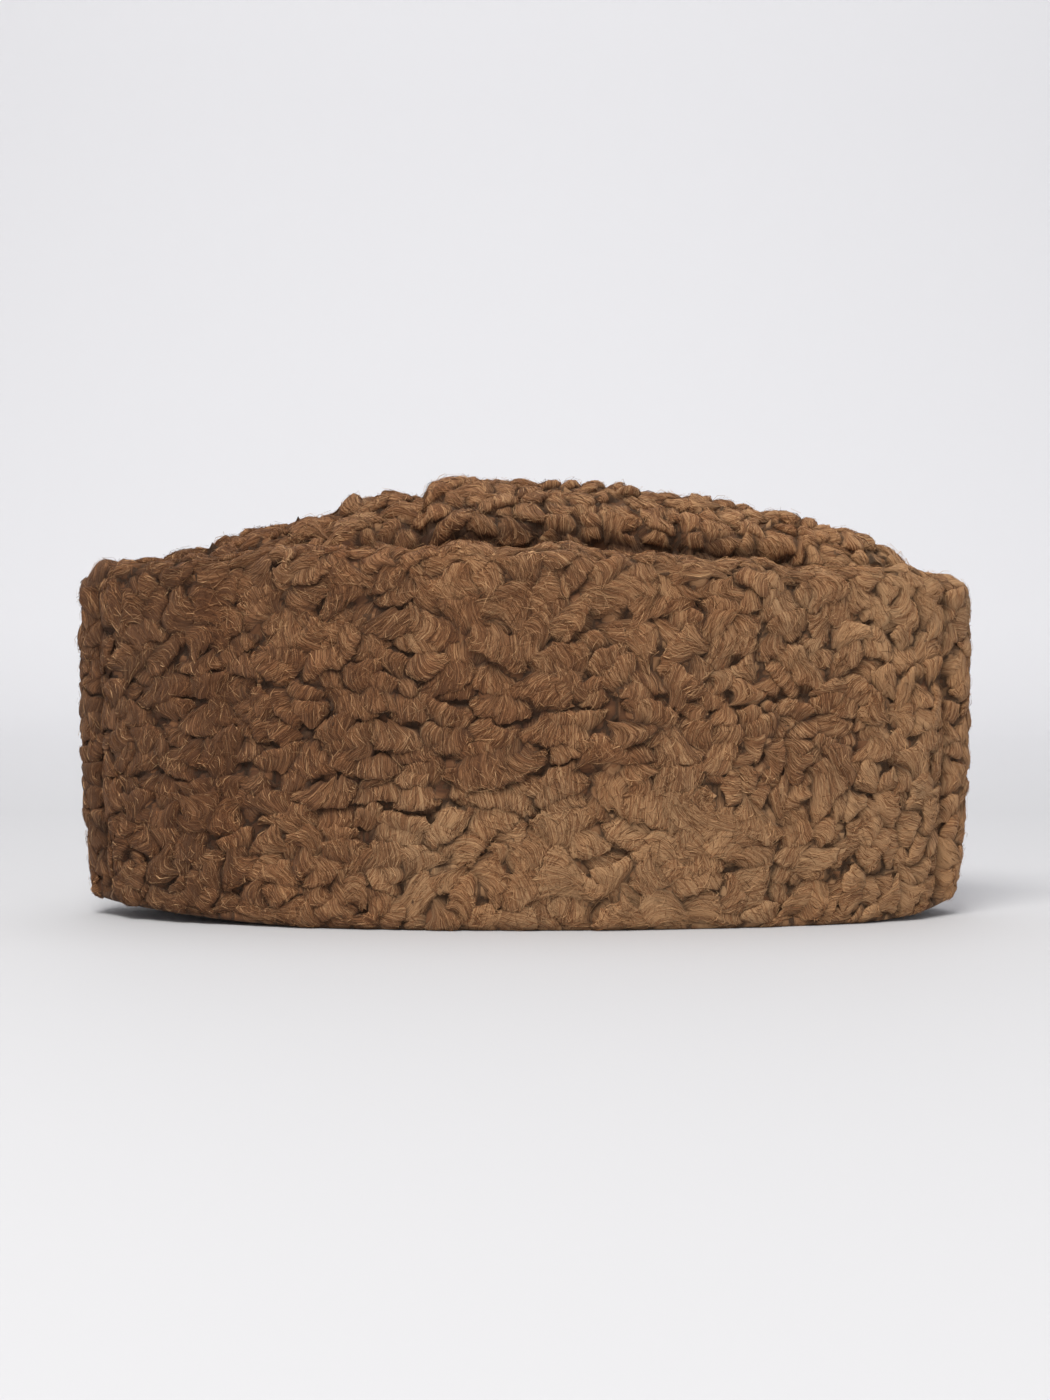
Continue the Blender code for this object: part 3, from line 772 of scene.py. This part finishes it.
# How curls are laid and shaped. Lengths are in mm, widths and ends in half widths, heights in curl heights.
curlLook = dict(
    # Laying: darts thrown, room kept, shares of the darts that are long and middling, spreads
    tries=16000, packing=0.50, longShare=0.45, midShare=0.7, laterLength=(0.6, 0.42), long=0.85, width=1.02,
    lengthSpread=0.32, widthSpread=(0.75, 1.2), lieSpread=0.6, bend=0.13, endReach=1.0,
    petals=0.42, petalLength=0.7, petalWidth=1.2, lipDown=0.62,
    # Shape: how the strands lean, bow, sweep and fan, how the curl ends, waves and ribs along it
    lean=0.30, bow=0.50, sweep=0.38, fan=0.32, plainFan=0.3, ends=0.9, tall=0.53, mergeFlat=0.45,
    swell=0.14, swellPitch=1.1, scallop=0.13, ribPitch=2.3, rib=0.13, wobble=0.9, wobblePitch=4.0,
    # Height: spread of the curls, the bottom between them, the body under them, the hem and the wall itself
    sitSpread=0.30, lateLower=1.1, slope=1.6, floor=-1.3, floorPitch=2.5, depth=0.75, baseDrop=0.75,
    meanReach=8.0, nearReach=1.6, hemRows=3, uneven=0.35,
    # Top edge: bumps, and the raised corners as x, height, half width
    edgeHigh=1.7, edgePitch=7.0, corners=[(-136, 3.1, 10), (124, 2.2, 9)],
    # Shade: painted shade in creases, between curls, under hairs and along the two seams; the tone of places (partly
    # painted shade), patches and single curls
    creaseReach=0.75, creaseMean=0.75, creaseBreak=0.45, breakPitch=3.2, baseDark=0.55, shade=1.9,
    underHairShade=-0.7, patch=0.4, patchPitch=22, toneShare=0.4, seamShade=0.65, seamHalf=2.2,
    # Mesh: rows down a curl, mm for a step along it, reach of the step spacing, pattern width of a row
    curlRows=10, curlStep=0.95, stepReach=0.96, rowWidth=0.32,
)
# Hairs: lengths in mm. The rows between the two in bare, under the rolled edge, are left with few.
hairLook = dict(
    count=49000, stations=3, length=2.4, rowsPerHalf=1.6, width=0.17, end=0.97, lift=0.28, roll=0.6,
    grown=(0.12, 0.80), under=0.35, bare=(126, 142), bareShare=0.12,
    strayShare=0.18, mergeStray=3, strayLift=3.6, tangle=0.28, mergeTangle=0.80,
    curlTone=0.5, toneMean=-0.8, toneSpread=5.2,
)

rightWall = dict(curlLook, spacing=1.0, seed=31, rows=dict(rim=6, wall=112, roll=22, lip=7, lining=8))
wallPanel("right_side_wool", "right_side_panel", -cap["backSeam"], -cap["frontSeam"], nearFolds, rightWall, hairLook)

leftWall = dict(curlLook, spacing=1.2, seed=47, curlRows=8, curlStep=1.15,
                rows=dict(rim=5, wall=94, roll=19, lip=6, lining=8))
leftHairs = dict(hairLook, count=28000, bare=(106, 120))
wallPanel("left_side_wool", "left_side_panel", -cap["frontSeam"], 360 - cap["backSeam"], [], leftWall, leftHairs)

# Crown ridge: x, height, crease depth, fullness
ridge = [
    (-0.128, 0.1115, 0.0040, 1.35), (-0.108, 0.1198, 0.0045, 1.35), (-0.085, 0.1272, 0.0060, 1.35),
    (-0.068, 0.1315, 0.0085, 1.35), (-0.045, 0.1370, 0.0105, 1.35), (-0.031, 0.1370, 0.0110, 1.35),
    (-0.023, 0.1402, 0.0115, 1.75), (-0.009, 0.1412, 0.0120, 1.75), (0.018, 0.1390, 0.0120, 1.70),
    (0.055, 0.1356, 0.0115, 1.65), (0.085, 0.1290, 0.0110, 1.60), (0.100, 0.1262, 0.0095, 1.60),
    (0.107, 0.1240, 0.0065, 1.50), (0.118, 0.1194, 0.0050, 1.40), (0.128, 0.1115, 0.0040, 1.35),
]

# Curls on the crown: x, way from the ridge, then as on the walls
crownZones = [
    (-110, 0, 70, 60, 8, 6.5, 2.6, 0.25),
    (-60, 0, 70, 50, 8, 6.5, 2.8, 0.25),
    (-60, -15, 10, 45, 10, 6.0, 2.0, 0.20),
    (-60, 15, 10, 45, 10, 6.0, 2.0, 0.20),
    (-15, -25, 0, 25, 13, 5.5, 2.0, 0.15),
    (-15, 0, 80, 45, 8, 6.5, 2.8, 0.25),
    (-15, 25, 0, 25, 13, 5.5, 2.0, 0.15),
    (40, -22, 0, 30, 11, 5.5, 2.0, 0.15),
    (20, 0, 80, 45, 7, 6.0, 2.8, 0.20),
    (60, 0, 80, 45, 7, 6.0, 2.8, 0.20),
    (40, 22, 0, 30, 11, 5.5, 2.0, 0.15),
    (90, 0, 70, 60, 7, 5.6, 2.8, 0.15),
    (115, 0, 30, 60, 8, 5.6, 2.0, 0.20),
]


def archPoints(theta, x, halfWidth, base, rise, fullness, turn):
    # Superellipse arch from -Y over the top: y = w cos^(2/n), z = base + rise sin^(2/n)
    power = 2.0 / fullness
    y = halfWidth * np.sign(np.cos(turn)) * np.abs(np.cos(turn)) ** power
    z = base + rise * np.abs(np.sin(turn)) ** power
    return np.stack(np.broadcast_arrays(x, y, z), axis=-1)


def evenRows(points, rows):
    # Each column of points read again at equal steps of its own length
    length = np.concatenate([np.zeros((1, points.shape[1])),
                             np.cumsum(np.linalg.norm(np.diff(points, axis=0), axis=-1), axis=0)])
    wanted = np.linspace(0, 1, rows)[:, None] * length[-1]
    below = np.clip((length[None] <= wanted[:, None]).sum(axis=1) - 1, 0, len(points) - 2)
    column = np.arange(points.shape[1])[None]
    start, end = length[below, column], length[below + 1, column]
    f = ((wanted - start) / np.maximum(end - start, 1e-12))[..., None]
    return points[below, column] * (1 - f) + points[below + 1, column] * f, wanted - length[-1] / 2


def crownTop(name, node, how, hairs):
    # Arches across the crown, whose feet stand inside the rolled edges and go down by crease depth + tuck at the tips.
    # The sheet sinks by creaseDepth * exp(-over^2) along the fold, for over the height above the edge in creaseHalf,
    # and by the lower table along the ridge. The fold is also darkened by painted shadow, creaseShade * exp(-over^2).
    def footAt(theta):
        # Top of the rolled edge, and how far inward and along the cap the arch's foot stands
        top = readTable(topEdge, 1, cap["halfLength"] * np.cos(theta))
        inward = sideLean(theta, top - cap["rollRadius"]) + 2 * cap["rollRadius"] + cap["sewnGap"]
        return top, inward, (cap["halfLength"] - inward) * np.cos(theta)

    tip = np.radians(how["tip"])
    theta = np.linspace(np.pi - tip, tip, 4000)
    x = footAt(theta)[2]
    columns = int((x[-1] - x[0]) / (how["spacing"] * mm)) + 1
    theta = np.interp(np.linspace(x[0], x[-1], columns), x, theta)
    top, inward, x = footAt(theta)
    halfWidth = (cap["halfWidth"] - inward) * np.sin(theta)
    tuck = how["tuck"] * mm * smoothStep(*how["tuckReach"], np.abs(x / mm))
    foot = top - readTable(ridge, 2, x) - tuck
    rise = np.maximum(readTable(ridge, 1, x) - tuck - foot, 0.001)
    fullness = readTable(ridge, 3, x)
    turn = np.linspace(np.pi, 0, 161)[:, None]
    arch, run = evenRows(archPoints(theta, x[None], halfWidth, foot, rise, fullness, turn), how["rows"])
    sheet = finishSheet(arch, x - x[0], run)
    sink = how["uneven"] * mm * softNoise(arch[..., 0], run, 14 * mm, how["seed"] + 9)
    over = (arch[..., 2] - top - how["creaseOver"] * mm) / (how["creaseHalf"] * mm)
    shut = smoothStep(*how["creaseStart"], x / mm) * (1 - smoothStep(*how["creaseEnd"], x / mm))
    sink = sink + how["creaseDepth"] * mm * shut * np.exp(-over**2) + mm * readTable(how["lower"], 1, x / mm)
    # Painted shadow in the fold above the rolled edge
    dark = how["creaseShade"] * shut * np.exp(-over**2)
    innerWidth = np.maximum(halfWidth - cap["pelt"], 0.35 * halfWidth)
    turn = np.linspace(0, np.pi, 9)[:, None]
    inner = archPoints(theta, x[None], innerWidth, foot - cap["pelt"], rise, fullness, turn)
    feet = [np.stack([x, side * halfWidth, foot - cap["pelt"]], -1)[None] for side in (1, -1)]
    lining = np.concatenate([feet[0], inner, feet[1]])
    dressWool(name, node, sheet, lining, crownZones, how, hairs, sink, dark)


# The crown's own values: tip in degrees, the rest in mm. The fold's crease opens and closes between the x of
# creaseStart and creaseEnd, and lower sinks the ridge by place. creaseShade is the strength of the painted shadow in
# the fold.
crownLook = dict(
    curlLook, spacing=1.0, rows=86, seed=63, tries=5000, tall=0.85, sitSpread=0.55,
    tip=1.5, tuck=3.0, tuckReach=(119, 127),
    creaseOver=1.4, creaseHalf=3.8, creaseDepth=4.5, creaseShade=1.3, creaseStart=(-60, -25), creaseEnd=(86, 98),
    lower=[
        (-125, 0), (-112, 0.6), (-104, 3.2), (-96, 0.6), (-88, 1.9), (-80, 2.8), (-65, 3.1), (-58, 0), (-40, 0),
        (-34, 1.2), (-32, 1.2), (-30.5, -2.6), (-26, -1.4), (-22, 0), (105, 0), (118, 1.0), (128, 0),
    ],
)
crownHairs = dict(hairLook, count=21000, lift=0.40, tangle=0.35, strayShare=0.18, bare=(1000, 1001))
crownTop("crown_wool", "crown", crownLook, crownHairs)

# Camera in metres and degrees; the paper's colour goes from floor to back over turn, in metres of depth
studio = dict(
    cameraDistance=0.75, cameraUp=2.5, aim=(0.0, 0.0, 0.069), lens=59.6,
    backColour=(0.86, 0.86, 0.88), floorColour=(0.59, 0.592, 0.608), turn=(0.35, 1.3),
    back=1.6, radius=0.6, front=-3.0, high=3.0, halfWide=4.0,
    world=(0.96, 0.96, 1.0), worldStrength=0.44,
    # name, place, aim, size, power, colour
    lights=[
        ("keyLight", (-0.35, -1.0, 1.55), (0, 0, 0.06), (0.9, 0.7), 28.0, (1.0, 0.98, 0.94)),
        ("fillLight", (1.3, -1.5, 0.6), (0, 0, 0.06), (1.0, 1.0), 4.0, (0.97, 0.98, 1.0)),
        ("topLight", (0.2, 0.3, 1.9), (0, 0, 0.0), (1.6, 1.2), 10.0, (1.0, 1.0, 1.0)),
    ],
)


def buildStudio(how):
    # Floor and backdrop are one sweep: level, a quarter circle, then upright
    turn = np.linspace(0, np.pi / 2, 24)
    back, radius = how["back"], how["radius"]
    y = np.concatenate([[how["front"], 0.0], back - radius + radius * np.sin(turn), [back]])
    z = np.concatenate([[0.0, 0.0], radius * (1 - np.cos(turn)), [how["high"]]])
    x = np.array([-how["halfWide"], how["halfWide"]])
    points = np.stack(np.broadcast_arrays(x[None], y[:, None], z[:, None]), -1)
    number = np.arange(points.shape[0] * 2).reshape(-1, 2)
    faces = np.stack([number[:-1, 0], number[:-1, 1], number[1:, 1], number[1:, 0]], -1)
    paper, tree, shader = newMaterial("studioPaper", Roughness=0.7, Specular_IOR_Level=0.2)
    place3d = addNode(tree, "ShaderNodeTexCoord", (-700, 0))
    split = addNode(tree, "ShaderNodeSeparateXYZ", (-500, 0))
    share = addNode(tree, "ShaderNodeMapRange", (-300, 0))
    share.inputs["From Min"].default_value, share.inputs["From Max"].default_value = how["turn"]
    shades = ramp(tree, (-100, 0), [(0.0, how["floorColour"]), (1.0, how["backColour"])])
    tree.links.new(place3d.outputs["Object"], split.inputs[0])
    tree.links.new(split.outputs["Y"], share.inputs["Value"])
    tree.links.new(share.outputs["Result"], shades.inputs["Fac"])
    tree.links.new(shades.outputs["Color"], shader.inputs["Base Color"])
    sweep = putMesh("studioSweep", points, faces.tolist(), [paper])

    world = bpy.data.worlds.new("studioWorld")
    bpy.context.scene.world = world
    world.use_nodes = True
    background = world.node_tree.nodes["Background"]
    background.inputs["Color"].default_value = (*how["world"], 1.0)
    background.inputs["Strength"].default_value = how["worldStrength"]

    for name, spot, aim, size, power, colour in how["lights"]:
        lamp = bpy.data.lights.new(name, "AREA")
        lamp.shape = "RECTANGLE"
        lamp.size, lamp.size_y = size
        lamp.energy = power
        lamp.color = colour
        holder = bpy.data.objects.new(name, lamp)
        holder.location = spot
        direction = np.array(aim, float) - np.array(spot, float)
        holder.rotation_mode = "QUATERNION"
        holder.rotation_quaternion = Vector(direction).to_track_quat("-Z", "Y")
        bpy.context.scene.collection.objects.link(holder)

    camera = bpy.data.cameras.new("camera")
    camera.lens = how["lens"]
    camera.sensor_width = 36.0
    eye = bpy.data.objects.new("camera", camera)
    rise = np.radians(how["cameraUp"])
    away = np.array([0.0, -np.cos(rise), np.sin(rise)]) * how["cameraDistance"]
    eye.location = np.array(how["aim"]) + away
    eye.rotation_euler = (np.pi / 2 - rise, 0.0, 0.0)
    bpy.context.scene.collection.objects.link(eye)
    bpy.context.scene.camera = eye
    bpy.context.scene.view_settings.view_transform = "Standard"
    bpy.context.scene.view_settings.look = "None"


buildStudio(studio)
print("studio made")
